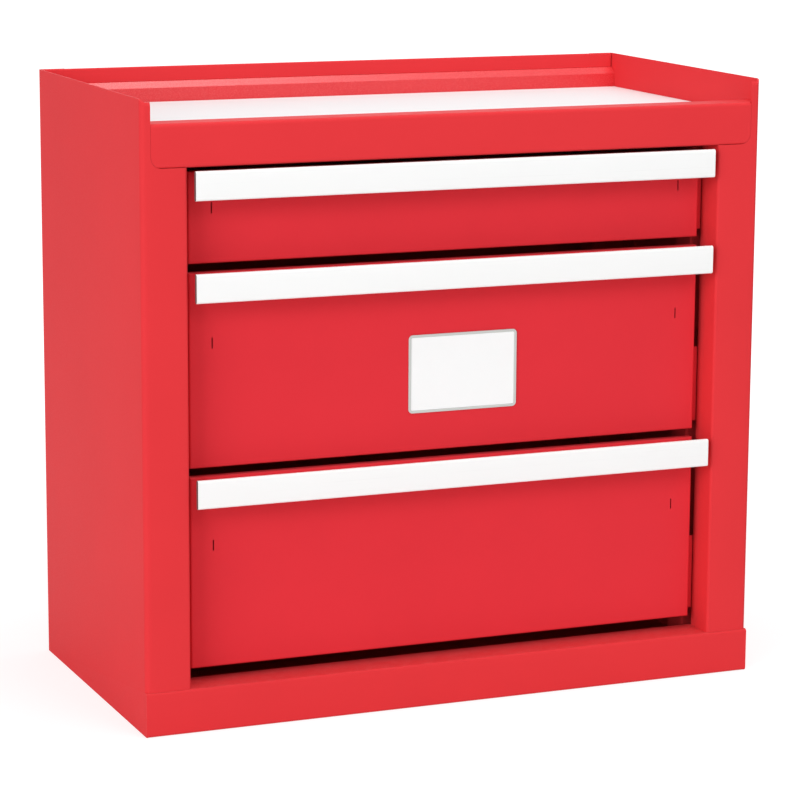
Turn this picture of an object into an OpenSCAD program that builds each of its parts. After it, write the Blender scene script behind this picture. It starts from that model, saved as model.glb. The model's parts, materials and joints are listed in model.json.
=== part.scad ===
// A bench-top tool cabinet: a folded sheet-steel body with a recessed worktop, and three drawers
// with full-width handle profiles on telescopic ball-bearing slides.
// X runs to the right, Y to the back and Z up. The origin is the middle of the footprint.

/* [Body] */
// Width over the side panels
body_w = 600; // [520:1:700]
// Depth from the stile faces to the rear flanges
body_d = 310; // [302:1:360]
// Height up to the rim round the worktop
body_h = 565; // [540:1:640]
// Thickness of the body's sheet steel
sheet_t = 1.5; // [1.2:0.1:2]
// Outside radius of the soft front edge of a side panel
side_bend_r = 5; // [4:0.5:6]
// Outside radius of the tighter bends in the body
bend_r = 2.5; // [2.2:0.1:3]
// Width of the flange that closes a side panel at the back
rear_flange_w = 25; // [18:1:32]
// Width of the flange under a side panel
foot_flange_w = 20; // [15:1:30]

/* [Front frame] */
// Width of the face of a stile
stile_w = 42; // [38:1:48]
// Depth of the jamb that a stile turns in
jamb_d = 32; // [26:1:34]
// Width of the narrow flange at each end of the top rail
rim_flange_w = 9; // [8:0.5:14]
// Height of the rim above the rails' ledges
rim_h = 21.5; // [16:0.5:24]
// Radius of the front corner of the rim
rim_corner_r = 7; // [5:0.5:12]
// Radius of the corner where a narrow flange widens into its stile
flange_fillet_r = 10; // [6:1:14]
// Open seam between the top rail and the narrow flanges
seam_gap = 0.2; // [0.1:0.1:0.5]
// Height of the top rail's face
top_rail_h = 38.5; // [36:0.5:50]
// Outside radius of the top rail's upper bend
rail_bend_r = 3.5; // [3:0.5:5]
// Depth of the top rail's ledge
rail_ledge_d = 25; // [18:1:32]
// Depth of the lip under the top rail
rail_lip_d = 20; // [12:1:22]
// Height of the base rail
base_rail_h = 40.4; // [34:0.2:50]
// Depth of the sill on the base rail
sill_d = 37; // [30:1:40]
// Height of the lip at the back of the sill
sill_lip_h = 12; // [8:1:18]

/* [Worktop] */
// Depth of the tray-like recess, from the rim down to the sheet laid in it
recess_d = 33; // [30:1:40]
// Thickness of the sheet laid in the recess
worktop_t = 2; // [1.5:0.5:4]
// Gap round the sheet laid in the recess
worktop_gap = 0.4; // [0.2:0.1:1.5]
// Depth of the ledge behind the recess
back_ledge_d = 8; // [7:0.5:12]
// Height and depth of the slope in front of the back ledge
back_slope = 6; // [4:0.5:6.5]
// Height of the rear rim above the back ledge
back_rim_h = 14; // [13:0.5:18]
// Height of the flanges under the ends of the pan
pan_flange_h = 14; // [8:1:18]

/* [Drawers] */
// Height of the shallow top drawer's front
top_front_h = 81.5; // [74:0.5:98]
// Gap above the top drawer's front
front_gap_top = 6; // [5:0.5:8]
// Gap between two drawer fronts
front_gap = 8; // [7:0.5:11]
// Gap under the lowest drawer's front
front_gap_bottom = 11.6; // [8:0.2:14]
// Gap beside a drawer front
front_gap_side = 8; // [8:0.5:10]
// Distance from the stile faces back to the drawer fronts
front_setback = 23; // [20:1:25]
// Depth of the folded edges of a drawer front
front_return_d = 8; // [7:0.5:10]
// Width of the lips that close the sides of a drawer front
front_lip_w = 12; // [9:1:15]
// Thickness of the drawers' sheet steel
drawer_t = 1; // [0.8:0.1:1.2]
// Outside radius of the bends in the drawers
drawer_bend_r = 2; // [1.6:0.1:2.4]
// Height of the walls of the shallow tray
top_tray_h = 49; // [48:0.5:60]
// Height of the walls of the two deep trays
deep_tray_h = 71; // [60:1:110]
// Distance from the lower edge of a front up to the underside of its tray
tray_lift = 6; // [4:0.5:9]
// How far the front wall of a tray shows beside the drawer front
tray_wing_w = 7; // [5:0.5:7]
// Width of the turned-in edge round the top of a tray
tray_hem_w = 8; // [6:0.5:12]
// Width of the narrow slots in a drawer front
slot_w = 1.2; // [1:0.1:3]
// Height of the narrow slots in a drawer front
slot_h = 10; // [7:0.5:14]
// Distance from a slot to the side of its drawer front
slot_inset = 21.5; // [16:0.5:30]

/* [Handles] */
// Height of the face of a handle
handle_h = 26; // [22:1:32]
// Thickness of a handle's face
handle_t = 4.5; // [1.8:0.1:5.5]
// Distance that a handle stands out in front of the stiles
handle_proud = 5; // [2:0.5:8]
// Distance that a handle rises above the top of its drawer front
handle_lift = 3; // [2:0.5:4]
// Distance that a handle runs past each side of its drawer front
handle_overhang = 2; // [0:0.5:4]
// Distance from the ends of a handle's face to its web, which is cut back there
handle_web_inset = 14; // [10:1:20]
// Depth of the groove along the top of a handle
handle_groove_d = 8; // [6:0.5:10]
// Thickness of a handle's web and of its fixing flange
handle_web_t = 1.8; // [1.5:0.1:2.4]
// Radius of the fillets inside a handle
handle_fillet_r = 1.2; // [0.8:0.1:1.8]

/* [Slides] */
// Height of a slide
slide_h = 45; // [44:0.5:46]
// Width of a slide between post and tray
slide_w = 12.7; // [12.5:0.1:13.2]
// Thickness of the slides' steel
slide_t = 1.2; // [1:0.1:1.3]
// Diameter of the balls
ball_d = 3.2; // [3:0.1:3.4]
// Running clearance on each side of a ball
ball_play = 0.3; // [0.2:0.05:0.4]
// Length of its slides that a drawer keeps inside when it is fully out
travel_margin = 10; // [10:1:50]
// Room behind the trays and their slides
tray_back_gap = 15; // [8:1:30]
// Number of balls along each edge of a cage
ball_n = 6; // [4:1:8]
// Thickness of a ball cage
cage_t = 0.6; // [0.5:0.05:0.7]
// Clearance between a slide and the jamb's opening
slide_side_gap = 0.8; // [0.5:0.1:1.5]
// Gap from the tray's front wall to the slides
slide_front_gap = 10; // [4:0.5:12]

/* [Posts] */
// Width of the face of a post
post_w = 30; // [24:1:36]
// Gap from the sill to the front posts
post_gap = 1; // [0.5:0.5:4]
// Distance from the rear ends of the slides to the rear posts
post_inset = 4; // [2:1:8]
// Width of a post's feet on the side panel
post_foot_w = 12; // [10:1:16]

/* [Label plate] */
// Width of the plate on the middle drawer
label_w = 107; // [80:1:130]
// Height of the plate
label_h = 72; // [50:1:80]
// Corner radius of the plate
label_r = 4; // [3:0.5:6]
// Width of the plate's raised rim
label_rim_w = 2.5; // [1.5:0.5:2.5]
// Distance that the rim stands out
label_rim_t = 1.2; // [1:0.1:2]
// Thickness of the blank card inside the rim
label_card_t = 0.7; // [0.4:0.1:0.9]
// Distance of the plate to the right of the middle
label_shift = 12; // [0:1:30]

/* [Fasteners] */
// Radius of a rivet's shank
rivet_r = 2; // [1.6:0.1:2.4]
// Radius of a rivet's head
rivet_head_r = 3.4; // [3:0.1:4]
// Thickness of a rivet's head and of its closed end
rivet_head_t = 0.9; // [0.6:0.1:1]
// Number of rivets along a handle
handle_rivet_n = 5; // [3:1:9]
// Radius of a slide screw's shank
screw_r = 2; // [1.6:0.1:2.2]
// Radius of a slide screw's flush head
screw_head_r = 3.4; // [3:0.1:3.8]
// Radius of the nut on a slide screw
screw_nut_r = 3.6; // [3.2:0.1:4]
// Thickness of the nut on a slide screw
screw_nut_t = 3; // [2.4:0.1:4]

/* [Hidden] */
$fn = 48;
// Overrun of every cut past the faces that it opens
over = 1;
// How far a bend's straight ends reach into the sheet on both sides of it
bend_lap = 0.5;
drawer_count = 3;
sides = ["left", "right"];

// The deep trays' fronts share what the top front and the gaps leave of the opening.
front_y = (handle_proud - body_d) / 2;
back_y = front_y + body_d;
side_x = body_w / 2;
web_x = side_x - sheet_t;
jamb_x = side_x - stile_w;
back_in_y = back_y - 2 * sheet_t;
rail_top_z = body_h - rim_h;
rail_bottom_z = rail_top_z - top_rail_h;
floor_top_z = 2 * sheet_t;
opening_h = rail_bottom_z - base_rail_h;
front_gaps = front_gap_top + front_gap_bottom + 2 * front_gap;
deep_front_h = (opening_h - front_gaps - top_front_h) / 2;

// The worktop's pan, and the angle of the slope in its back wall
slope_angle = 45;
worktop_z = body_h - recess_d;
pan_z = worktop_z - worktop_t - sheet_t;
pan_front_y = front_y + rail_ledge_d - sheet_t;
back_ledge_y = back_in_y - back_ledge_d;
back_ledge_z = body_h - back_rim_h;
inner_bend_r = bend_r - sheet_t;
fold_t = sheet_t * tan(slope_angle / 2);
back_slope_z = back_ledge_z - back_slope;
back_wall_points = [
    [back_ledge_y, pan_z + bend_r],
    [back_ledge_y, back_slope_z],
    [back_ledge_y + back_slope, back_ledge_z],
    [back_in_y, back_ledge_z],
    [back_in_y, back_ledge_z - sheet_t],
    [back_ledge_y + back_slope + fold_t, back_ledge_z - sheet_t],
    [back_ledge_y + sheet_t, back_slope_z - fold_t],
    [back_ledge_y + sheet_t, pan_z + bend_r]
];
worktop_front_y = pan_front_y + sheet_t + inner_bend_r + worktop_gap;
worktop_back_y = back_ledge_y - inner_bend_r - worktop_gap;

// The drawers
front_half_w = jamb_x - front_gap_side;
face_y = front_y + front_setback;
tray_y = face_y + front_return_d;
wing_half_w = front_half_w + tray_wing_w;
slide_x = jamb_x - slide_side_gap;
tray_half_w = slide_x - slide_w;
slide_y = tray_y + drawer_t + slide_front_gap;
tray_back_y = back_in_y - tray_back_gap;
slide_len = tray_back_y - slide_y;
travel = slide_len - travel_margin;

// Distance of each slot below the top of its front, as shares of the front's height
slot_drop_shares = [0.4, 0.36, 0.36];
// Height of the label plate's middle on its front, as a share of the front's height
label_height_share = 0.407;
// Height of a slide's middle on its tray: half the slide and this much more
slide_rise_gap = 3;
slide_rise = slide_h / 2 + slide_rise_gap;

// The slides' section, measured inwards from the post
slide_bend_r = 1.8;
slide_lip_h = 1.2;
outer_flange_w = 10.4;
web_gap = 0.4;
race_h = ball_d + 2 * ball_play;
outer_half_h = slide_h / 2;
middle_half_h = outer_half_h - slide_t - race_h;
inner_half_h = middle_half_h - slide_t - race_h;
outer_cage_s = slide_t + web_gap;
middle_s = outer_cage_s + cage_t + web_gap;
inner_cage_s = middle_s + slide_t + web_gap;
inner_s = inner_cage_s + cage_t + web_gap;
middle_end_s = slide_w - slide_t - web_gap;
outer_ball_s = middle_s + slide_t + ball_d / 2;
inner_ball_s = (inner_s + middle_end_s) / 2;
outer_ball_h = outer_half_h - slide_t - race_h / 2;
inner_ball_h = middle_half_h - slide_t - race_h / 2;
cage_hole_play = 0.12;
cage_edge_w = 1.6;
cage_end_gap = 5;
cage_y = slide_y + travel / 4 + cage_end_gap;
cage_len = slide_len - travel / 2 - 2 * cage_end_gap;
ball_pitch = cage_len / ball_n;

// The posts and what is fixed to them
post_top_z = pan_z - pan_flange_h;
front_post_y = front_y + sill_d + post_gap + post_foot_w;
rear_post_y = tray_back_y - post_inset - post_w;

// The handles
handle_y = front_y - handle_proud;
handle_d = face_y - handle_y;
handle_half_w = front_half_w + handle_overhang;
handle_web_z = -handle_groove_d - handle_web_t;
handle_flange_z = handle_t - handle_h;
handle_rivet_z = (handle_web_z + handle_flange_z) / 2 - handle_fillet_r / 2;
handle_rivet_inset = 30;
slide_rivet_inset = 20;

function tray_h(i) = i == 1 ? top_tray_h : deep_tray_h;
function front_h(i) = i == 1 ? top_front_h : deep_front_h;
function front_top_z(i) =
    i == 1 ? rail_bottom_z - front_gap_top : front_top_z(i - 1) - front_h(i - 1) - front_gap;
function front_z(i) = front_top_z(i) - front_h(i);
function handle_top_z(i) = front_top_z(i) + handle_lift;
function tray_z(i) = front_z(i) + tray_lift;
function slide_z(i) = tray_z(i) + slide_rise;
function drawer_node(i, piece) = str("drawer_", i, "_", piece);
function slide_node(i, member, side) = str("slide_", i, "_", member, "_", side);

paint = [0.89, 0.22, 0.25];
drawer_paint = [0.88, 0.20, 0.24];
handle_white = [0.95, 0.95, 0.94];
worktop_white = [0.96, 0.95, 0.95];
zinc = [0.72, 0.74, 0.76];
ball_steel = [0.55, 0.57, 0.60];
label_grey = [0.70, 0.70, 0.72];
label_white = [0.97, 0.97, 0.97];

// Sheet-metal profiles
// A straight stretch of sheet, as the rectangle between two corners
module bar(x0, y0, x1, y1) {
    translate([x0, y0]) square([x1 - x0, y1 - y0]);
}

// A quarter bend about a centre: turn 0 opens to +X +Y, and each 90 turns it further round.
// Its straight ends lie in the stretches of sheet that it joins.
module bend(x, y, r, t, turn) {
    translate([x, y]) rotate(turn) {
        intersection() {
            difference() {
                circle(r);
                circle(r - t);
            }
            square(r);
        }
        bar(-bend_lap, r - t, 0, r);
        bar(r - t, -bend_lap, r, 0);
    }
}

// The fillet that fills a corner at x, y, towards the quadrant given by turn
module fillet(x, y, r, turn) {
    translate([x, y]) rotate(turn) difference() {
        square(r);
        translate([r, r]) circle(r);
    }
}

// A rectangle with four round corners, about its middle
module round_rect(w, h, r) {
    for (x = [r - w / 2, w / 2 - r]) for (y = [r - h / 2, h / 2 - r]) translate([x, y]) circle(r);
    square([w - 2 * r, h], center = true);
    square([w, h - 2 * r], center = true);
}

// An upright slot with round ends, about its middle
module slot(w, h) {
    square([w, h - w], center = true);
    for (y = [w - h, h - w]) translate([0, y / 2]) circle(w / 2);
}

// A YZ profile carried along X, from -half to +half
module along_x(half) {
    translate([-half, 0, 0]) rotate([90, 0, 90]) linear_extrude(2 * half) children();
}

// An XZ profile carried along Y, from y0 to y1
module along_y(y0, y1) {
    translate([0, y1, 0]) rotate([90, 0, 0]) linear_extrude(y1 - y0) children();
}

// An XY profile carried up Z, from z0 to z1
module along_z(z0, z1) {
    translate([0, 0, z0]) linear_extrude(z1 - z0) children();
}

// Everything beside the drawers is drawn on the left and mirrored for the right.
module on_side(side) {
    if (side == "left") children();
    else mirror([1, 0, 0]) children();
}

// Body
module side_web() {
    bar(-side_x, front_y + side_bend_r, -web_x, back_y - bend_r);
    bend(bend_r - side_x, back_y - bend_r, bend_r, sheet_t, 90);
    bar(bend_r - side_x, back_y - sheet_t, rear_flange_w - side_x, back_y);
}

// The soft front edge and as much of the front as reaches x1
module side_face(x1) {
    bend(side_bend_r - side_x, front_y + side_bend_r, side_bend_r, sheet_t, 180);
    bar(side_bend_r - side_x, front_y, x1, front_y + sheet_t);
}

// The corner between a narrow flange and its stile, outside an arc of radius r
module flange_corner(r) {
    translate([rim_flange_w - side_x, rail_bottom_z]) difference() {
        square(flange_fillet_r);
        translate([flange_fillet_r, flange_fillet_r]) circle(r);
    }
}

// The web runs square to the front behind the base rail, turns in as the stile and its jamb
// beside the opening, and keeps only a narrow flange beside the top rail and along the rim.
module side_panel(side) {
    color(paint) on_side(side) difference() {
        union() {
            along_z(0, body_h) side_web();
            along_z(0, base_rail_h) bar(-side_x, front_y, -web_x, front_y + 2 * side_bend_r);
            along_z(base_rail_h, body_h) side_face(rim_flange_w - side_x);
            along_z(base_rail_h, rail_bottom_z) {
                side_face(-jamb_x - bend_r);
                bend(-jamb_x - bend_r, front_y + bend_r, bend_r, sheet_t, 270);
                bar(-jamb_x - sheet_t, front_y + bend_r, -jamb_x, front_y + jamb_d);
            }
            along_y(front_y, front_y + sheet_t) flange_corner(flange_fillet_r);
            translate([-side_x, front_y + sill_d, 0])
                cube([foot_flange_w, back_in_y - front_y - sill_d, sheet_t]);
        }
        translate([-side_x - over, 0, 0]) rotate([90, 0, 90]) linear_extrude(rim_flange_w + 2 * over)
            translate([front_y, body_h]) rotate(270) difference() {
                translate([-over, -over]) square(rim_corner_r + over);
                translate([rim_corner_r, rim_corner_r]) circle(rim_corner_r);
            }
    }
}

// The back panel laps inside the rear flanges and is hemmed forwards and down to the back ledge.
module back_panel() {
    color(paint) along_x(web_x - inner_bend_r) {
        bar(back_in_y, 0, back_y - sheet_t, body_h - sheet_t);
        bar(back_in_y - sheet_t, back_ledge_z, back_in_y, body_h - sheet_t);
        translate([back_in_y, body_h - sheet_t]) intersection() {
            circle(sheet_t);
            bar(-sheet_t, 0, sheet_t, sheet_t);
        }
    }
}

module bottom_panel() {
    color(paint) translate([-web_x, front_y + bend_r, sheet_t])
        cube([2 * web_x, back_in_y - front_y - bend_r, sheet_t]);
}

// The base rail laps over the front edges of the side panels, one sheet proud of the stiles.
module base_rail() {
    rail_y = front_y - sheet_t;
    color(paint) difference() {
        along_x(side_x) {
            bar(rail_y, bend_r, front_y, base_rail_h - bend_r);
            bend(rail_y + bend_r, base_rail_h - bend_r, bend_r, sheet_t, 90);
            bar(rail_y + bend_r, base_rail_h - sheet_t, front_y + sill_d - bend_r, base_rail_h);
            bend(front_y + sill_d - bend_r, base_rail_h - bend_r, bend_r, sheet_t, 0);
            bar(front_y + sill_d - sheet_t, base_rail_h - sill_lip_h, front_y + sill_d, base_rail_h - bend_r);
            bend(rail_y + bend_r, bend_r, bend_r, sheet_t, 180);
            bar(rail_y + bend_r, 0, front_y + sill_d, sheet_t);
        }
        for (side = sides) on_side(side) translate([-side_x - over, front_y, -over])
            cube([sheet_t + over, sill_d + over, base_rail_h + 2 * over]);
    }
}

// The top rail closes the front between the rim flanges, and its ledge reaches the side panels.
module top_rail() {
    color(paint) difference() {
        union() {
            along_x(side_x - rim_flange_w - seam_gap) {
                bar(front_y, rail_bottom_z + bend_r, front_y + sheet_t, rail_top_z - rail_bend_r);
                bend(front_y + rail_bend_r, rail_top_z - rail_bend_r, rail_bend_r, sheet_t, 90);
                bar(front_y + rail_bend_r, rail_top_z - sheet_t, front_y + rail_ledge_d, rail_top_z);
                bend(front_y + bend_r, rail_bottom_z + bend_r, bend_r, sheet_t, 180);
                bar(front_y + bend_r, rail_bottom_z, front_y + rail_lip_d, rail_bottom_z + sheet_t);
            }
            along_x(web_x)
                bar(front_y + side_bend_r, rail_top_z - sheet_t, front_y + rail_ledge_d, rail_top_z);
        }
        for (side = sides) on_side(side) along_y(front_y - over, front_y + bend_r)
            flange_corner(flange_fillet_r - seam_gap);
    }
}

// The pan is one folded sheet: it starts under the front ledge, forms the recess, its back wall and
// the back ledge, and turns down along the side panels.
module worktop_pan() {
    color(paint) {
        along_x(web_x) {
            bar(pan_front_y, pan_z + bend_r, pan_front_y + sheet_t, rail_top_z - sheet_t);
            bend(pan_front_y + bend_r, pan_z + bend_r, bend_r, sheet_t, 180);
            bar(pan_front_y + bend_r, pan_z, back_ledge_y + sheet_t - bend_r, pan_z + sheet_t);
            bend(back_ledge_y + sheet_t - bend_r, pan_z + bend_r, bend_r, sheet_t, 270);
            polygon(back_wall_points);
        }
        for (side = sides) on_side(side) translate([-web_x, pan_front_y + bend_r, pan_z - pan_flange_h])
            cube([sheet_t, back_ledge_y - pan_front_y - 2 * bend_r, pan_flange_h + sheet_t]);
    }
}

module worktop_sheet() {
    half_w = web_x - worktop_gap;
    color(worktop_white) translate([-half_w, worktop_front_y, worktop_z - worktop_t])
        cube([2 * half_w, worktop_back_y - worktop_front_y, worktop_t]);
}

// Posts: hat sections that stand on the bottom panel and carry the slides
module slide_post(end, side) {
    y0 = end == "front" ? front_post_y : rear_post_y;
    y1 = y0 + post_w;
    color(paint) on_side(side) difference() {
        along_z(floor_top_z, post_top_z) {
            bar(-slide_x - sheet_t, y0 + bend_r, -slide_x, y1 - bend_r);
            bend(-slide_x - bend_r, y0 + bend_r, bend_r, sheet_t, 270);
            bend(-slide_x - bend_r, y1 - bend_r, bend_r, sheet_t, 0);
            bar(-web_x, y0, -slide_x - bend_r, y0 + sheet_t);
            bar(-web_x, y1 - sheet_t, -slide_x - bend_r, y1);
            bar(-web_x, y0 - post_foot_w, -web_x + sheet_t, y0 + sheet_t);
            bar(-web_x, y1 - sheet_t, -web_x + sheet_t, y1 + post_foot_w);
        }
        for (i = [1:drawer_count]) translate([-slide_x - sheet_t - over, y0 + post_w / 2, slide_z(i)])
            rotate([0, 90, 0]) cylinder(r = screw_r, h = sheet_t + 2 * over);
    }
}

// Screws with flush heads hold each outer member to its two posts.
module slide_screws() {
    grip = slide_t + sheet_t;
    color(zinc) for (side = sides) on_side(side) for (i = [1:drawer_count])
        for (y = [front_post_y, rear_post_y])
            translate([slide_t - slide_x, y + post_w / 2, slide_z(i)]) rotate([0, -90, 0]) {
                cylinder(r1 = screw_head_r, r2 = screw_r, h = slide_t);
                cylinder(r = screw_r, h = grip);
                translate([0, 0, grip]) cylinder(r = screw_nut_r, h = screw_nut_t);
            }
}

// Drawers
// The solid that a drawer front is folded round, grown or shrunk by its own wall
module front_block(i, wall, r) {
    half_w = front_half_w - wall;
    y0 = face_y + wall;
    y1 = tray_y - wall;
    z0 = front_z(i) + wall;
    z1 = front_top_z(i) - wall;
    intersection() {
        along_z(z0, z1) translate([0, (y0 + y1) / 2]) round_rect(2 * half_w, y1 - y0, r);
        along_x(half_w) {
            bar(y0, z0 + r, y1, z1 - r);
            bar(y0 + r, z0, y1, z1);
            translate([y0 + r, z0 + r]) circle(r);
            translate([y0 + r, z1 - r]) circle(r);
        }
    }
}

// A front is folded back on all four edges and its sides end in lips on the tray's front wall.
module drawer_front(i) {
    window_half_w = front_half_w - front_lip_w;
    slot_z = front_top_z(i) - slot_drop_shares[i - 1] * front_h(i);
    color(drawer_paint) difference() {
        front_block(i, 0, drawer_bend_r);
        front_block(i, drawer_t, drawer_bend_r - drawer_t);
        translate([-window_half_w, tray_y - drawer_bend_r, front_z(i) + drawer_t])
            cube([2 * window_half_w, drawer_bend_r + over, front_h(i) - 2 * drawer_t]);
        for (side = sides) on_side(side) along_y(face_y - over, face_y + drawer_t + over)
            translate([slot_inset - front_half_w, slot_z]) slot(slot_w, slot_h);
        for (x = handle_rivet_places()) translate([x, face_y - over, handle_top_z(i) + handle_rivet_z])
            rotate([-90, 0, 0]) cylinder(r = rivet_r, h = drawer_t + 2 * over);
    }
}

// A tray is a trough folded from one sheet, with hems along its top, between two end walls.
module drawer_tray(i) {
    z0 = tray_z(i);
    z1 = z0 + tray_h(i);
    r = drawer_bend_r;
    color(drawer_paint) difference() {
        along_y(tray_y + drawer_t, tray_back_y - drawer_t) {
            bar(r - tray_half_w, z0, tray_half_w - r, z0 + drawer_t);
            for (side = sides) mirror([side == "left" ? 0 : 1, 0]) {
                bend(r - tray_half_w, z0 + r, r, drawer_t, 180);
                bar(-tray_half_w, z0 + r, drawer_t - tray_half_w, z1 - r);
                bend(r - tray_half_w, z1 - r, r, drawer_t, 90);
                bar(r - tray_half_w, z1 - drawer_t, tray_hem_w - tray_half_w, z1);
            }
        }
        for (side = sides) on_side(side) for (y = slide_rivet_places())
            translate([-tray_half_w - over, y, slide_z(i)])
                rotate([0, 90, 0]) cylinder(r = rivet_r, h = drawer_t + 2 * over);
    }
}

// The hem along the top of an end wall lies between the trough's own hems.
module tray_end_hem(i, y) {
    half_w = tray_half_w - tray_hem_w;
    translate([-half_w, y, tray_z(i) + tray_h(i) - drawer_t]) cube([2 * half_w, tray_hem_w, drawer_t]);
}

// The front wall is wider than the trough: its ends show as wings beside the drawer's front.
module tray_front_wall(i) {
    color(drawer_paint) {
        translate([-wing_half_w, tray_y, tray_z(i)]) cube([2 * wing_half_w, drawer_t, tray_h(i)]);
        tray_end_hem(i, tray_y);
    }
}

module tray_back_wall(i) {
    z0 = tray_z(i);
    z1 = z0 + tray_h(i);
    r = drawer_bend_r;
    color(drawer_paint) {
        along_y(tray_back_y - drawer_t, tray_back_y) {
            bar(r - tray_half_w, z0, tray_half_w - r, z1);
            bar(-tray_half_w, z0 + r, tray_half_w, z1 - r);
        }
        tray_end_hem(i, tray_back_y - tray_hem_w);
    }
}

// A handle's sections have their origin at the top of its front face.
module handle_face() {
    half_t = handle_t / 2;
    bar(0, half_t - handle_h, handle_t, -half_t);
    for (z = [-half_t, half_t - handle_h]) translate([half_t, z]) circle(half_t);
}

// The web leaves a groove above and room for the fingers below, and ends in a flange on the front.
module handle_web() {
    flange_y = handle_d - handle_web_t;
    bar(handle_t / 2, handle_web_z, handle_d, -handle_groove_d);
    bar(flange_y, handle_flange_z, handle_d, -handle_groove_d);
    fillet(handle_t, handle_web_z, handle_fillet_r, 270);
    fillet(flange_y, handle_web_z, handle_fillet_r, 180);
    fillet(handle_t, -handle_groove_d, handle_fillet_r, 0);
}

function handle_rivet_places() =
    [for (k = [0:handle_rivet_n - 1])
        (handle_half_w - handle_rivet_inset) * (2 * k / (handle_rivet_n - 1) - 1)];
function slide_rivet_places() = [slide_y + slide_rivet_inset, tray_back_y - slide_rivet_inset];

module drawer_handle(i) {
    color(handle_white) difference() {
        translate([0, handle_y, handle_top_z(i)]) {
            along_x(handle_half_w) handle_face();
            along_x(handle_half_w - handle_web_inset) handle_web();
        }
        for (x = handle_rivet_places())
            translate([x, face_y - handle_web_t - over, handle_top_z(i) + handle_rivet_z])
                rotate([-90, 0, 0]) cylinder(r = rivet_r, h = handle_web_t + 2 * over);
    }
}

// A rivet along +Z, with its head at the origin and grip as the thickness that it holds
module rivet(grip) {
    translate([0, 0, -rivet_head_t]) cylinder(r1 = rivet_r, r2 = rivet_head_r, h = rivet_head_t);
    cylinder(r = rivet_r, h = grip);
    translate([0, 0, grip]) cylinder(r1 = rivet_head_r, r2 = rivet_r, h = rivet_head_t);
}

module drawer_rivets(i) {
    color(zinc) {
        for (x = handle_rivet_places())
            translate([x, face_y - handle_web_t, handle_top_z(i) + handle_rivet_z])
                rotate([-90, 0, 0]) rivet(handle_web_t + drawer_t);
        for (side = sides) on_side(side) for (y = slide_rivet_places())
            translate([-tray_half_w - slide_t, y, slide_z(i)]) rotate([0, 90, 0]) rivet(slide_t + drawer_t);
    }
}

// Slides
// A channel whose web lies at s0 when it opens inwards, or ends at s1 when it opens outwards
module channel(s0, s1, half_h, opens_in, lip_out) {
    r = slide_bend_r;
    lip_s = opens_in ? s1 - slide_t : s0;
    bend_s = opens_in ? s0 + r : s1 - r;
    bar(opens_in ? s0 : s1 - slide_t, r - half_h, opens_in ? s0 + slide_t : s1, half_h - r);
    for (up = [0, 1]) mirror([0, up]) {
        bend(bend_s, half_h - r, r, slide_t, opens_in ? 90 : 0);
        bar(opens_in ? bend_s : s0, half_h - slide_t, opens_in ? s1 : bend_s, half_h);
        if (lip_out) bar(lip_s, half_h - slide_t, lip_s + slide_t, half_h + slide_lip_h);
        else bar(lip_s, half_h - slide_t - slide_lip_h, lip_s + slide_t, half_h);
    }
}

module slide_member(i, member, side) {
    color(zinc) on_side(side) difference() {
        translate([-slide_x, 0, slide_z(i)]) along_y(slide_y, tray_back_y) {
            if (member == "outer") channel(0, outer_flange_w, outer_half_h, true, false);
            if (member == "middle") channel(middle_s, middle_end_s, middle_half_h, true, false);
            if (member == "inner") channel(inner_s, slide_w, inner_half_h, false, true);
        }
        if (member == "outer") for (y = [front_post_y, rear_post_y])
            translate([-slide_x, y + post_w / 2, slide_z(i)]) rotate([0, 90, 0]) {
                cylinder(r1 = screw_r, r2 = screw_head_r, h = slide_t);
                translate([0, 0, slide_t]) cylinder(r = screw_head_r, h = over);
            }
        if (member == "inner") for (y = slide_rivet_places())
            translate([-tray_half_w - slide_t - over, y, slide_z(i)])
                rotate([0, 90, 0]) cylinder(r = rivet_r, h = slide_t + 2 * over);
    }
}

// A cage is a thin strip turned over at both edges, with a row of balls along each edge.
module ball_cage(web_s, ball_s, ball_h) {
    edge_h = ball_h + cage_t / 2;
    edge_s = ball_s + ball_d / 2 + cage_edge_w / 2;
    difference() {
        along_y(cage_y, cage_y + cage_len) {
            bar(web_s, -edge_h, web_s + cage_t, edge_h);
            for (up = [0, 1]) mirror([0, up]) bar(web_s, edge_h - cage_t, edge_s, edge_h);
        }
        ball_rows(ball_s, ball_h)
            cylinder(r = ball_d / 2 + cage_hole_play, h = cage_t + 2 * over, center = true);
    }
    ball_rows(ball_s, ball_h) sphere(d = ball_d);
}

module ball_rows(ball_s, ball_h) {
    for (z = [-ball_h, ball_h]) for (k = [0:ball_n - 1])
        translate([ball_s, cage_y + (k + 1 / 2) * ball_pitch, z]) children();
}

module slide_cages(i, place) {
    color(ball_steel) for (side = sides) on_side(side) translate([-slide_x, 0, slide_z(i)]) {
        if (place == "outer") ball_cage(outer_cage_s, outer_ball_s, outer_ball_h);
        else ball_cage(inner_cage_s, inner_ball_s, inner_ball_h);
    }
}

// Label plate
module label_place() {
    translate([label_shift, face_y, front_z(2) + label_height_share * front_h(2)])
        rotate([90, 0, 0]) children();
}

module label_frame() {
    color(label_grey) label_place() linear_extrude(label_rim_t) difference() {
        round_rect(label_w, label_h, label_r);
        round_rect(label_w - 2 * label_rim_w, label_h - 2 * label_rim_w, label_r - label_rim_w);
    }
}

module label_card() {
    color(label_white) label_place() linear_extrude(label_card_t)
        round_rect(label_w - 2 * label_rim_w, label_h - 2 * label_rim_w, label_r - label_rim_w);
}

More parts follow.
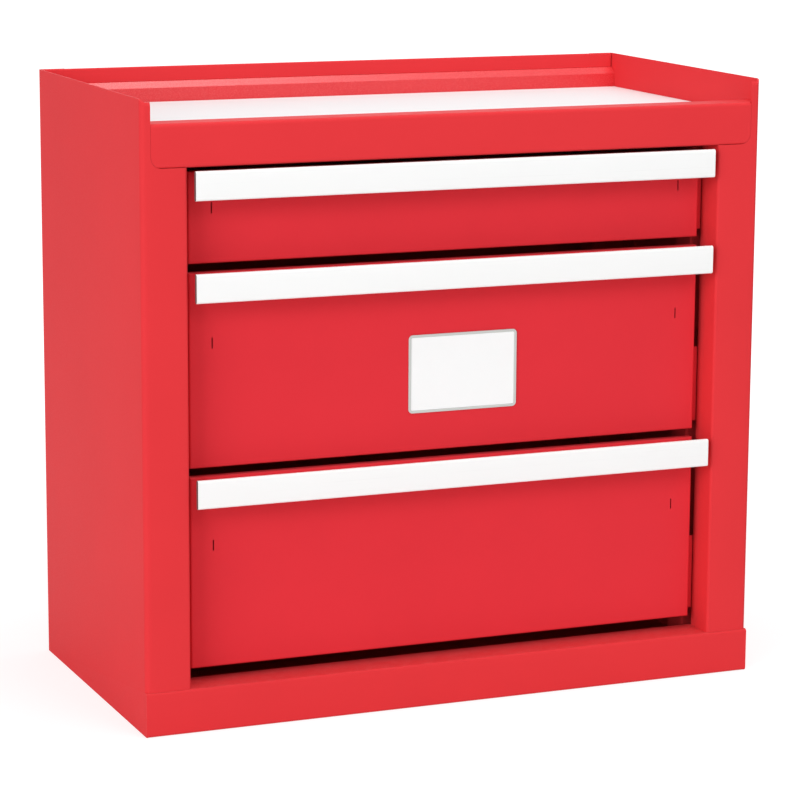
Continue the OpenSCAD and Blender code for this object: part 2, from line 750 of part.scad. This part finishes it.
side_panel("left");  // side_panel_left
side_panel("right");  // side_panel_right
back_panel();
bottom_panel();
base_rail();
top_rail();
worktop_pan();
worktop_sheet();
for (end = ["front", "rear"]) for (side = sides)
    slide_post(end, side);
slide_screws();
for (i = [1:drawer_count]) {
    drawer_front(i);
    drawer_tray(i);
    tray_front_wall(i);
    tray_back_wall(i);
    drawer_handle(i);
    drawer_rivets(i);
    for (place = ["outer", "inner"])
        slide_cages(i, place);
    for (member = ["outer", "middle", "inner"]) for (side = sides)
        slide_member(i, member, side);
}
label_frame();
label_card();
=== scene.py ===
"""A red bench-top tool cabinet with three drawers: its finishes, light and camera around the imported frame.

X runs to the right, Y to the back and Z up, in metres, as in the frame.
"""

import json
import math

import bmesh
import bpy
import numpy as np
from mathutils import Matrix, Vector


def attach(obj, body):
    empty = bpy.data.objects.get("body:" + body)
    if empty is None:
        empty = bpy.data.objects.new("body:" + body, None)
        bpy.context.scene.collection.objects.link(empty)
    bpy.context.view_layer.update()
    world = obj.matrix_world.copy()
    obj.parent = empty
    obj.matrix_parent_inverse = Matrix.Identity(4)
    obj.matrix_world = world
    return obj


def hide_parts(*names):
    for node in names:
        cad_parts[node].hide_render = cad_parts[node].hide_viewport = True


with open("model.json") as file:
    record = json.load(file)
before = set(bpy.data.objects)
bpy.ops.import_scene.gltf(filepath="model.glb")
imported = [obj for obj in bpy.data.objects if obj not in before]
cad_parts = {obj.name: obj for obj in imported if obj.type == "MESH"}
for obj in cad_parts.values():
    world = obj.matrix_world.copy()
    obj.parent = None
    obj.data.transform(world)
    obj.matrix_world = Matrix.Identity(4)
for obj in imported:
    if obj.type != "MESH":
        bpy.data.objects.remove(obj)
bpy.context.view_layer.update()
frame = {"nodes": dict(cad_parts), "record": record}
scene = bpy.context.scene
MM = 0.001

# Camera, fitted to the corners of the cabinet and its handles
PHOTO_SIDE_PX = 800
FOCAL_PX = 3093.3
SENSOR_MM = 36.0
CAMERA_AZIMUTH = math.radians(-22.62)
CAMERA_ELEVATION = math.radians(11.088)
CAMERA_ROLL = math.radians(0.333)
CAMERA_DISTANCE = 2988.1 * MM
CAMERA_SIDEWAYS = 5.634 * MM
CAMERA_RISE = 251.144 * MM
CAMERA_REACH = 20.0


def photo_camera():
    """Places the camera from its three angles and its distance: it looks back along its own third axis."""
    az, el, roll = CAMERA_AZIMUTH, CAMERA_ELEVATION, CAMERA_ROLL
    right = Vector((math.cos(az), math.sin(az), 0))
    back = Vector((math.sin(az) * math.cos(el), -math.cos(az) * math.cos(el), math.sin(el)))
    up = back.cross(right)
    right, up = (
        math.cos(roll) * right + math.sin(roll) * up,
        math.cos(roll) * up - math.sin(roll) * right,
    )
    place = CAMERA_SIDEWAYS * right + CAMERA_RISE * up + CAMERA_DISTANCE * back
    lens = bpy.data.cameras.new("photo_camera")
    lens.sensor_width = SENSOR_MM
    lens.lens = FOCAL_PX / PHOTO_SIDE_PX * SENSOR_MM
    lens.clip_end = CAMERA_REACH
    camera = bpy.data.objects.new("photo_camera", lens)
    scene.collection.objects.link(camera)
    turn = Matrix((right, up, back)).transposed()
    camera.matrix_world = Matrix.Translation(place) @ turn.to_4x4()
    scene.camera = camera


# Colours, linear
WHITE = (1, 1, 1, 1)
BODY_RED = (0.76, 0.041, 0.048, 1)
DRAWER_RED = (0.77, 0.036, 0.049, 1)
# A lighter red on the paint's edges is a painted highlight.
PAINT_EDGE_HIGHLIGHT = (0.82, 0.09, 0.10, 1)
DUST = (0.80, 0.62, 0.60, 1)
HANDLE_WHITE = (0.93, 0.94, 0.935, 1)
# A lighter white on the handles' edges is a painted highlight.
HANDLE_EDGE_HIGHLIGHT = (0.96, 0.96, 0.96, 1)
# Dark grey on the handles' end faces is painted shade.
END_SHADE_GREY = (0.16, 0.13, 0.13, 1)
WORKTOP_WHITE = (0.91, 0.93, 0.94, 1)
ZINC = (0.62, 0.64, 0.67, 1)
# A brighter metal on the edges of zinc parts and the rim is a painted highlight.
METAL_EDGE_HIGHLIGHT = (0.80, 0.81, 0.83, 1)
BEARING = (0.55, 0.56, 0.58, 1)
LABEL_GREY = (0.62, 0.64, 0.62, 1)
CARD_WHITE = (0.97, 0.99, 0.99, 1)
FLOOR_BOUNCE = (0.93, 0.93, 0.93, 1)
FLOOR_TONE = (0.42, 0.42, 0.42, 1)


# Shader building


def add_node(tree, kind, settings=None, **inputs):
    """Adds one shader node, with its settings and the values or links of its inputs, by their names."""
    made = tree.nodes.new(kind)
    for name, value in (settings or {}).items():
        setattr(made, name, value)
    for name, value in inputs.items():
        socket = made.inputs[int(name[1:])] if name[1:].isdigit() else made.inputs[name.replace("_", " ")]
        if isinstance(value, bpy.types.NodeSocket):
            tree.links.new(value, socket)
        else:
            socket.default_value = value
    return made


def calculate(tree, operation, *values):
    """One step of arithmetic on values or links, in their order."""
    given = {f"_{place}": value for place, value in enumerate(values)}
    return add_node(tree, "ShaderNodeMath", {"operation": operation}, **given).outputs[0]


def spread(tree, value, start, end, low, high, kind="LINEAR"):
    """A value that goes from low to high while the given one goes from start to end."""
    ranged = add_node(
        tree,
        "ShaderNodeMapRange",
        {"interpolation_type": kind},
        Value=value,
        From_Min=start,
        From_Max=end,
        To_Min=low,
        To_Max=high,
    )
    return ranged.outputs["Result"]


def own_place(tree):
    """The place of a point in its piece's own metres."""
    return add_node(tree, "ShaderNodeTexCoord").outputs["Object"]


def noise(tree, place, waves, detail, roughness):
    """A cloudy value between 0 and 1, with so many waves per metre."""
    cloudy = add_node(
        tree, "ShaderNodeTexNoise", Vector=place, Scale=waves, Detail=detail, Roughness=roughness
    )
    return cloudy.outputs["Fac"]


def new_group(name, inputs, outputs):
    """Starts a shader node group with named inputs, as (kind, value), and named outputs, as kinds."""
    group = bpy.data.node_groups.new(name, "ShaderNodeTree")
    for socket, (kind, value) in inputs.items():
        made = group.interface.new_socket(socket, in_out="INPUT", socket_type="NodeSocket" + kind)
        made.default_value = value
    for socket, kind in outputs.items():
        group.interface.new_socket(socket, in_out="OUTPUT", socket_type="NodeSocket" + kind)
    return group, group.nodes.new("NodeGroupInput").outputs, group.nodes.new("NodeGroupOutput")


def use_group(tree, group, **inputs):
    """Places a group in a material with that material's own values."""
    return add_node(tree, "ShaderNodeGroup", {"node_tree": group}, **inputs).outputs


# Noise of each group, with its waves per metre where the finish doesn't give them
CLOUDS = {"detail": 4.0, "roughness": 0.6}
COARSE_PEEL = {"detail": 2.0, "roughness": 0.4}
FINE_PEEL = {"detail": 1.0, "roughness": 0.5}
# Noise that breaks up the painted edge highlights.
HIGHLIGHT_BREAKUP = {"waves": 90.0, "detail": 5.0, "roughness": 0.7}
SPECKS = {"waves": 160.0, "detail": 6.0, "roughness": 0.75}
# The waves of drawn lines are in their stretch.
DRAWN = {"waves": 1.0, "detail": 3.0, "roughness": 0.65}
NOISE_MIDDLE = 0.5
# The second size of paint waves is so many times finer, and this share as high.
FINE_PEEL_RATIO = 3.1
FINE_PEEL_SHARE = 0.25
# An edge shows by the cosine between its rounded and its true normal.
EDGE_SAMPLES = 6
EDGE_SHOWS = {"start": 0.98, "end": 0.75, "low": 0.0, "high": 1.0, "kind": "SMOOTHSTEP"}
EDGE_BREAKS = {"start": 0.35, "end": 0.65, "low": 0.4, "high": 1.0}
# Dust lies by the upward part of the normal.
DUST_LIES = {"start": 0.6, "end": 1.0, "low": 0.0, "high": 1.0}
DUST_THINS = {"start": 0.4, "end": 0.7, "low": 0.2, "high": 1.0}


def tone_drift_group():
    """A colour that drifts lighter and darker in slow, cloudy patches."""
    inputs = {
        "Colour": ("Color", WHITE),
        "Patches per metre": ("Float", 6.0),
        "Amount": ("Float", 0.05),
    }
    group, given, out = new_group("tone_drift", inputs, {"Colour": "Color"})
    cloud = noise(group, own_place(group), given["Patches per metre"], **CLOUDS)
    swing = calculate(group, "SUBTRACT", cloud, NOISE_MIDDLE)
    amount = calculate(group, "MULTIPLY_ADD", swing, given["Amount"], 1.0)
    tone = add_node(
        group, "ShaderNodeVectorMath", {"operation": "SCALE"}, Vector=given["Colour"], Scale=amount
    )
    group.links.new(tone.outputs[0], out.inputs["Colour"])
    return group


def powder_peel_group():
    """The fine waves of baked powder paint: two sizes of noise, added as a height."""
    inputs = {"Waves per metre": ("Float", 500.0)}
    group, given, out = new_group("powder_peel", inputs, {"Height": "Float", "Grain": "Float"})
    place = own_place(group)
    coarse = noise(group, place, given["Waves per metre"], **COARSE_PEEL)
    finer = calculate(group, "MULTIPLY", given["Waves per metre"], FINE_PEEL_RATIO)
    fine = noise(group, place, finer, **FINE_PEEL)
    height = calculate(group, "MULTIPLY_ADD", fine, FINE_PEEL_SHARE, coarse)
    group.links.new(height, out.inputs["Height"])
    group.links.new(fine, out.inputs["Grain"])
    return group


def edge_mask_group():
    """A mask of the outer edges, where the finishes paint highlights: how far the rounded normal turns from
    the true one, broken up by noise.
    """
    inputs = {"Radius": ("Float", 0.8 * MM), "Strength": ("Float", 1.0)}
    group, given, out = new_group("edge_highlight_mask", inputs, {"Mask": "Float"})
    rounded = add_node(group, "ShaderNodeBevel", {"samples": EDGE_SAMPLES}, Radius=given["Radius"])
    true = add_node(group, "ShaderNodeNewGeometry")
    turned = add_node(
        group,
        "ShaderNodeVectorMath",
        {"operation": "DOT_PRODUCT"},
        _0=rounded.outputs["Normal"],
        _1=true.outputs["True Normal"],
    )
    edge = spread(group, turned.outputs["Value"], **EDGE_SHOWS)
    broken = spread(group, noise(group, own_place(group), **HIGHLIGHT_BREAKUP), **EDGE_BREAKS)
    mask = calculate(group, "MULTIPLY", edge, broken)
    strong = calculate(group, "MULTIPLY", mask, given["Strength"])
    group.links.new(strong, out.inputs["Mask"])
    return group


def settled_dust_group():
    """A mask of the thin dust that settles on faces that look up."""
    inputs = {"Strength": ("Float", 0.3)}
    group, given, out = new_group("settled_dust", inputs, {"Mask": "Float"})
    normal = add_node(group, "ShaderNodeNewGeometry").outputs["Normal"]
    up = add_node(group, "ShaderNodeSeparateXYZ", Vector=normal)
    level = spread(group, up.outputs["Z"], **DUST_LIES)
    film = spread(group, noise(group, own_place(group), **SPECKS), **DUST_THINS)
    both = calculate(group, "MULTIPLY", level, film)
    mask = calculate(group, "MULTIPLY", both, given["Strength"])
    group.links.new(mask, out.inputs["Mask"])
    return group


def drawn_lines_group():
    """The fine lines of drawn or rolled metal: noise that is stretched far along one axis."""
    inputs = {"Stretch": ("Vector", (4.0, 1500.0, 1500.0))}
    group, given, out = new_group("drawn_lines", inputs, {"Line": "Float"})
    place = own_place(group)
    along = add_node(group, "ShaderNodeVectorMath", {"operation": "MULTIPLY"}, _0=place, _1=given["Stretch"])
    group.links.new(noise(group, along.outputs[0], **DRAWN), out.inputs["Line"])
    return group


tone_drift = tone_drift_group()
powder_peel = powder_peel_group()
edge_highlight_mask = edge_mask_group()
settled_dust = settled_dust_group()
drawn_lines = drawn_lines_group()


# Finishes

# The stretch of a pattern that the gloss follows
GLOSS_START, GLOSS_END = 0.3, 0.7
PAINT_GLOSS_SWING = 0.05
ZINC_GLOSS_SWING = 0.08
# Sideways part of the true normal past which a face is a handle's end, painted dark grey as shade
SHADED_END_FACE = 0.7


def new_material(name, roughness, metallic=0.0, specular=0.5, coat=0.0):
    """A material with its Principled shader's plain values set on the shader itself."""
    material = bpy.data.materials.new(name)
    material.use_nodes = True
    shader = material.node_tree.nodes["Principled BSDF"]
    shader.inputs["Roughness"].default_value = roughness
    shader.inputs["Metallic"].default_value = metallic
    shader.inputs["Specular IOR Level"].default_value = specular
    shader.inputs["Coat Weight"].default_value = coat
    return material, material.node_tree, shader


def mix_colour(tree, mask, low, high):
    """A colour that goes from low to high as the mask goes from 0 to 1."""
    mixed = add_node(tree, "ShaderNodeMix", {"data_type": "RGBA"}, _0=mask, _6=low, _7=high)
    return mixed.outputs[2]


def tint_surface(tree, shader, colour):
    """Gives the shader its colour over the surface."""
    tree.links.new(colour, shader.inputs["Base Color"])


def vary_gloss(tree, shader, pattern, low, high):
    """Lets the shader's roughness go from low to high with a pattern."""
    tree.links.new(spread(tree, pattern, GLOSS_START, GLOSS_END, low, high), shader.inputs["Roughness"])


def raise_surface(tree, shader, height, depth):
    """Gives the shader the relief of a height, whose full swing is depth metres."""
    bump = add_node(tree, "ShaderNodeBump", Height=height, Distance=depth, Strength=1.0)
    tree.links.new(bump.outputs["Normal"], shader.inputs["Normal"])


def powder_paint(name, colour, waves, depth, roughness, specular):
    """Baked powder paint on steel: peel, slow drift of tone, a painted highlight on edges and a film of
    dust.
    """
    material, tree, shader = new_material(name, roughness, specular=specular)
    peel = use_group(tree, powder_peel, Waves_per_metre=waves)
    drift = use_group(tree, tone_drift, Colour=colour, Patches_per_metre=7.0, Amount=0.10)
    edge = use_group(tree, edge_highlight_mask, Radius=0.9 * MM, Strength=0.2)
    dust = use_group(tree, settled_dust, Strength=0.06)
    # The edges get a lighter red as a painted highlight.
    painted = mix_colour(tree, edge["Mask"], drift["Colour"], PAINT_EDGE_HIGHLIGHT)
    tint_surface(tree, shader, mix_colour(tree, dust["Mask"], painted, DUST))
    smooth, rough = roughness - PAINT_GLOSS_SWING, roughness + PAINT_GLOSS_SWING
    vary_gloss(tree, shader, peel["Grain"], low=smooth, high=rough)
    raise_surface(tree, shader, peel["Height"], depth=depth)
    return material


def handle_lacquer(name):
    """White lacquer on drawn profiles: faint lines along them, a painted highlight on their edges, and dark
    grey painted shade on their ends.
    """
    material, tree, shader = new_material(name, roughness=0.32)
    lines = use_group(tree, drawn_lines, Stretch=(3.0, 1400.0, 1400.0))
    drift = use_group(tree, tone_drift, Colour=HANDLE_WHITE, Patches_per_metre=5.0, Amount=0.03)
    edge = use_group(tree, edge_highlight_mask, Radius=0.6 * MM, Strength=0.25)
    normal = add_node(tree, "ShaderNodeNewGeometry").outputs["True Normal"]
    facing = add_node(tree, "ShaderNodeSeparateXYZ", Vector=normal)
    sideways = calculate(tree, "ABSOLUTE", facing.outputs["X"])
    # Faces turned sideways are the handle's ends, painted dark grey as shade; the edges are painted a
    # lighter white as a highlight.
    shaded_end = calculate(tree, "GREATER_THAN", sideways, SHADED_END_FACE)
    lacquered = mix_colour(tree, edge["Mask"], drift["Colour"], HANDLE_EDGE_HIGHLIGHT)
    tint_surface(tree, shader, mix_colour(tree, shaded_end, lacquered, END_SHADE_GREY))
    vary_gloss(tree, shader, lines["Line"], low=0.26, high=0.38)
    raise_surface(tree, shader, lines["Line"], depth=0.01 * MM)
    return material


def worktop_laminate(name):
    """The pale sheet in the recess: a fine pebbled face with dust in it."""
    material, tree, shader = new_material(name, roughness=0.45, specular=0.1)
    peel = use_group(tree, powder_peel, Waves_per_metre=900.0)
    drift = use_group(tree, tone_drift, Colour=WORKTOP_WHITE, Patches_per_metre=9.0, Amount=0.04)
    dust = use_group(tree, settled_dust, Strength=0.05)
    tint_surface(tree, shader, mix_colour(tree, dust["Mask"], drift["Colour"], DUST))
    vary_gloss(tree, shader, peel["Grain"], low=0.38, high=0.52)
    raise_surface(tree, shader, peel["Height"], depth=0.03 * MM)
    return material


def zinc_plate(name, roughness, patches):
    """Bright zinc plate on rolled steel: cloudy tone, rolling lines along Y in its gloss and relief, and a
    painted highlight on its edges.
    """
    material, tree, shader = new_material(name, roughness, metallic=1.0)
    lines = use_group(tree, drawn_lines, Stretch=(1200.0, 5.0, 1200.0))
    drift = use_group(tree, tone_drift, Colour=ZINC, Patches_per_metre=patches, Amount=0.25)
    edge = use_group(tree, edge_highlight_mask, Radius=0.4 * MM, Strength=0.5)
    tint_surface(tree, shader, mix_colour(tree, edge["Mask"], drift["Colour"], METAL_EDGE_HIGHLIGHT))
    smooth, rough = roughness - ZINC_GLOSS_SWING, roughness + ZINC_GLOSS_SWING
    vary_gloss(tree, shader, lines["Line"], low=smooth, high=rough)
    raise_surface(tree, shader, lines["Line"], depth=0.01 * MM)
    return material


def bearing_steel(name):
    """Polished balls and their cages, with a trace of grease."""
    material, tree, shader = new_material(name, roughness=0.16, metallic=1.0)
    drift = use_group(tree, tone_drift, Colour=BEARING, Patches_per_metre=120.0, Amount=0.30)
    lines = use_group(tree, drawn_lines, Stretch=(900.0, 8.0, 900.0))
    tint_surface(tree, shader, drift["Colour"])
    vary_gloss(tree, shader, lines["Line"], low=0.10, high=0.24)
    return material


def label_rim(name):
    """The plate's grey rim: brushed lightly along X, with a painted highlight on its edges."""
    material, tree, shader = new_material(name, roughness=0.35, metallic=0.35)
    lines = use_group(tree, drawn_lines, Stretch=(20.0, 1500.0, 1500.0))
    drift = use_group(tree, tone_drift, Colour=LABEL_GREY, Patches_per_metre=40.0, Amount=0.12)
    edge = use_group(tree, edge_highlight_mask, Radius=0.4 * MM, Strength=0.5)
    tint_surface(tree, shader, mix_colour(tree, edge["Mask"], drift["Colour"], METAL_EDGE_HIGHLIGHT))
    vary_gloss(tree, shader, lines["Line"], low=0.28, high=0.42)
    return material


def blank_card(name):
    """The blank card: paper with a faint fibre, under a clear film."""
    material, tree, shader = new_material(name, roughness=0.5, coat=0.3)
    fibre = use_group(tree, drawn_lines, Stretch=(300.0, 900.0, 1100.0))
    drift = use_group(tree, tone_drift, Colour=CARD_WHITE, Patches_per_metre=60.0, Amount=0.03)
    tint_surface(tree, shader, drift["Colour"])
    vary_gloss(tree, shader, fibre["Line"], low=0.42, high=0.58)
    raise_surface(tree, shader, fibre["Line"], depth=0.008 * MM)
    return material


# The recess is glossier than the rest of the body.
SATIN = {"depth": 0.035 * MM, "roughness": 0.42, "specular": 0.03}
GLOSSY = {"depth": 0.006 * MM, "roughness": 0.26, "specular": 0.5}
BODY_WAVES = 450.0
DRAWER_WAVES = 500.0
FINISHES = {
    "body_paint": powder_paint("body_paint", BODY_RED, BODY_WAVES, **SATIN),
    "drawer_paint": powder_paint("drawer_paint", DRAWER_RED, DRAWER_WAVES, **SATIN),
    "handle_white": handle_lacquer("handle_white"),
    "worktop_white": worktop_laminate("worktop_white"),
    "slide_zinc": zinc_plate("slide_zinc", roughness=0.34, patches=40.0),
    "zinc_fastener": zinc_plate("zinc_fastener", roughness=0.28, patches=200.0),
    "ball_steel": bearing_steel("ball_steel"),
    "label_grey": label_rim("label_grey"),
    "label_white": blank_card("label_white"),
}
OWN_FINISHES = {"worktop_pan": powder_paint("recess_paint", BODY_RED, BODY_WAVES, **GLOSSY)}

# The sheets and profiles that show get rounded edges; what works inside keeps the frame's own meshes.
BODY_SHEETS = [
    "side_panel_left",
    "side_panel_right",
    "back_panel",
    "base_rail",
    "top_rail",
    "worktop_pan",
    "worktop_sheet",
]
DRAWERS = (1, 2, 3)
DRAWER_SHEETS = ("front", "tray", "tray_front", "tray_back", "handle")
LABEL_SHEETS = ["label_frame", "label_card"]
SHOWN_SHEETS = [
    *BODY_SHEETS,
    *(f"drawer_{i}_{piece}" for i in DRAWERS for piece in DRAWER_SHEETS),
    *LABEL_SHEETS,
]
MERGE = 0.01 * MM
FLAT = math.radians(0.6)
CREASE = math.radians(30)
EDGE_SEGMENTS = 2
EDGE_RADIUS = {
    "body_paint": 0.35 * MM,
    "drawer_paint": 0.3 * MM,
    "handle_white": 0.3 * MM,
    "worktop_white": 0.5 * MM,
    "label_grey": 0.3 * MM,
    "label_white": 0.15 * MM,
}


def finished_sheet(name, slot, finish):
    """A copy of one frame piece: its loose triangles merged into whole faces, and its edges rounded."""
    source = frame["nodes"][name].data
    places = np.empty(len(source.vertices) * 3)
    source.vertices.foreach_get("co", places)
    corners = np.empty(len(source.loops), dtype=int)
    source.loops.foreach_get("vertex_index", corners)
    mesh = bpy.data.meshes.new(name + "_finish")
    mesh.from_pydata(places.reshape(-1, 3), [], corners.reshape(-1, 3))
    shape = bmesh.new()
    shape.from_mesh(mesh)
    bmesh.ops.remove_doubles(shape, verts=shape.verts, dist=MERGE)
    bmesh.ops.dissolve_limit(shape, angle_limit=FLAT, verts=shape.verts, edges=shape.edges)
    for face in shape.faces:
        face.smooth = True
    for edge in shape.edges:
        edge.smooth = edge.is_manifold and edge.calc_face_angle() < CREASE
    shape.to_mesh(mesh)
    shape.free()
    piece = bpy.data.objects.new(name + "_finish", mesh)
    scene.collection.objects.link(piece)
    mesh.materials.append(finish)
    rounded = piece.modifiers.new("rounded_edges", "BEVEL")
    rounded.width = EDGE_RADIUS[slot]
    rounded.segments = EDGE_SEGMENTS
    rounded.limit_method = "ANGLE"
    rounded.angle_limit = CREASE
    rounded.use_clamp_overlap = True
    rounded.harden_normals = True
    return piece


def dress_cabinet():
    """Gives every frame piece its finish, and the shown ones their rounded edges."""
    record = frame["record"]
    slots = {part["node"]: part["material_slot"] for part in record["subparts"]}
    riders = {name: body for body, names in record["behaviour"]["bodies"].items() for name in names}
    for name, node in frame["nodes"].items():
        finish = OWN_FINISHES.get(name, FINISHES[slots[name]])
        if name in SHOWN_SHEETS:
            piece = finished_sheet(name, slots[name], finish)
            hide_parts(name)
            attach(piece, riders[name])
        for place in node.material_slots:
            place.material = finish


# Studio
FLOOR_HALF = 25.0
FLOOR_DROP = 0.2 * MM
# The floor's own glow, by the distance in metres from the middle under the cabinet
FLOOR_GLOW = {"start": 0.45, "end": 1.9, "low": 0.72, "high": 0.95, "kind": "SMOOTHSTEP"}
ROOM_STRENGTH = 0.475
SEEN_STRENGTH = 1.0
BODY_MIDDLE = Vector((0, 0, 0.28))
LAMPS = {
    "key_lamp": {"place": Vector((-4.9, -3.1, 1.9)), "side": 3.2, "watts": 148.0},
    "top_lamp": {"place": Vector((0.2, -0.35, 2.9)), "side": 1.4, "watts": 27.0},
    "front_lamp": {"place": Vector((0.9, -3.0, 2.3)), "side": 1.4, "watts": 19.0},
}


def studio_floor():
    """A pale floor that keeps the cabinet's shadow, and whose own glow rises to white away from it."""
    mesh = bpy.data.meshes.new("floor")
    half = FLOOR_HALF
    corners = [(x * half, y * half, -FLOOR_DROP) for x, y in ((-1, -1), (1, -1), (1, 1), (-1, 1))]
    mesh.from_pydata(corners, [], [(0, 1, 2, 3)])
    floor = bpy.data.objects.new("floor", mesh)
    scene.collection.objects.link(floor)
    material = bpy.data.materials.new("pale_floor")
    material.use_nodes = True
    tree = material.node_tree
    tree.nodes.clear()
    paths = add_node(tree, "ShaderNodeLightPath").outputs
    bounce = add_node(tree, "ShaderNodeBsdfDiffuse", Color=FLOOR_BOUNCE).outputs[0]
    lit = add_node(tree, "ShaderNodeBsdfDiffuse", Color=FLOOR_TONE).outputs[0]
    place = add_node(tree, "ShaderNodeNewGeometry").outputs["Position"]
    radius = add_node(tree, "ShaderNodeVectorMath", {"operation": "LENGTH"}, _0=place).outputs["Value"]
    rise = spread(tree, radius, **FLOOR_GLOW)
    glow = add_node(tree, "ShaderNodeEmission", Color=WHITE, Strength=rise).outputs[0]
    seen = add_node(tree, "ShaderNodeAddShader", _0=lit, _1=glow).outputs[0]
    mixed = add_node(tree, "ShaderNodeMixShader", _0=paths["Is Camera Ray"], _1=bounce, _2=seen).outputs[0]
    result = add_node(tree, "ShaderNodeOutputMaterial")
    tree.links.new(mixed, result.inputs["Surface"])
    mesh.materials.append(material)


def studio_room():
    """An even pale room, which the camera, gloss and glass see as white."""
    world = bpy.data.worlds.new("studio")
    scene.world = world
    world.use_nodes = True
    tree = world.node_tree
    tree.nodes.clear()
    paths = add_node(tree, "ShaderNodeLightPath").outputs
    direct = calculate(tree, "MAXIMUM", paths["Is Camera Ray"], paths["Is Glossy Ray"])
    shown = calculate(tree, "MAXIMUM", direct, paths["Is Transmission Ray"])
    room = add_node(tree, "ShaderNodeBackground", Color=WHITE, Strength=ROOM_STRENGTH).outputs[0]
    white = add_node(tree, "ShaderNodeBackground", Color=WHITE, Strength=SEEN_STRENGTH).outputs[0]
    mixed = add_node(tree, "ShaderNodeMixShader", _0=shown, _1=room, _2=white).outputs[0]
    result = add_node(tree, "ShaderNodeOutputWorld")
    tree.links.new(mixed, result.inputs["Surface"])


def soft_lamp(name, place, side, watts):
    """A square soft lamp that faces the middle of the body."""
    lamp = bpy.data.lights.new(name, "AREA")
    lamp.shape = "SQUARE"
    lamp.size = side
    lamp.energy = watts
    holder = bpy.data.objects.new(name, lamp)
    scene.collection.objects.link(holder)
    holder.location = place
    holder.rotation_euler = (BODY_MIDDLE - place).to_track_quat("-Z", "Y").to_euler()


photo_camera()
dress_cabinet()
studio_floor()
studio_room()
for name, lamp in LAMPS.items():
    soft_lamp(name, **lamp)
scene.view_settings.view_transform = "Standard"
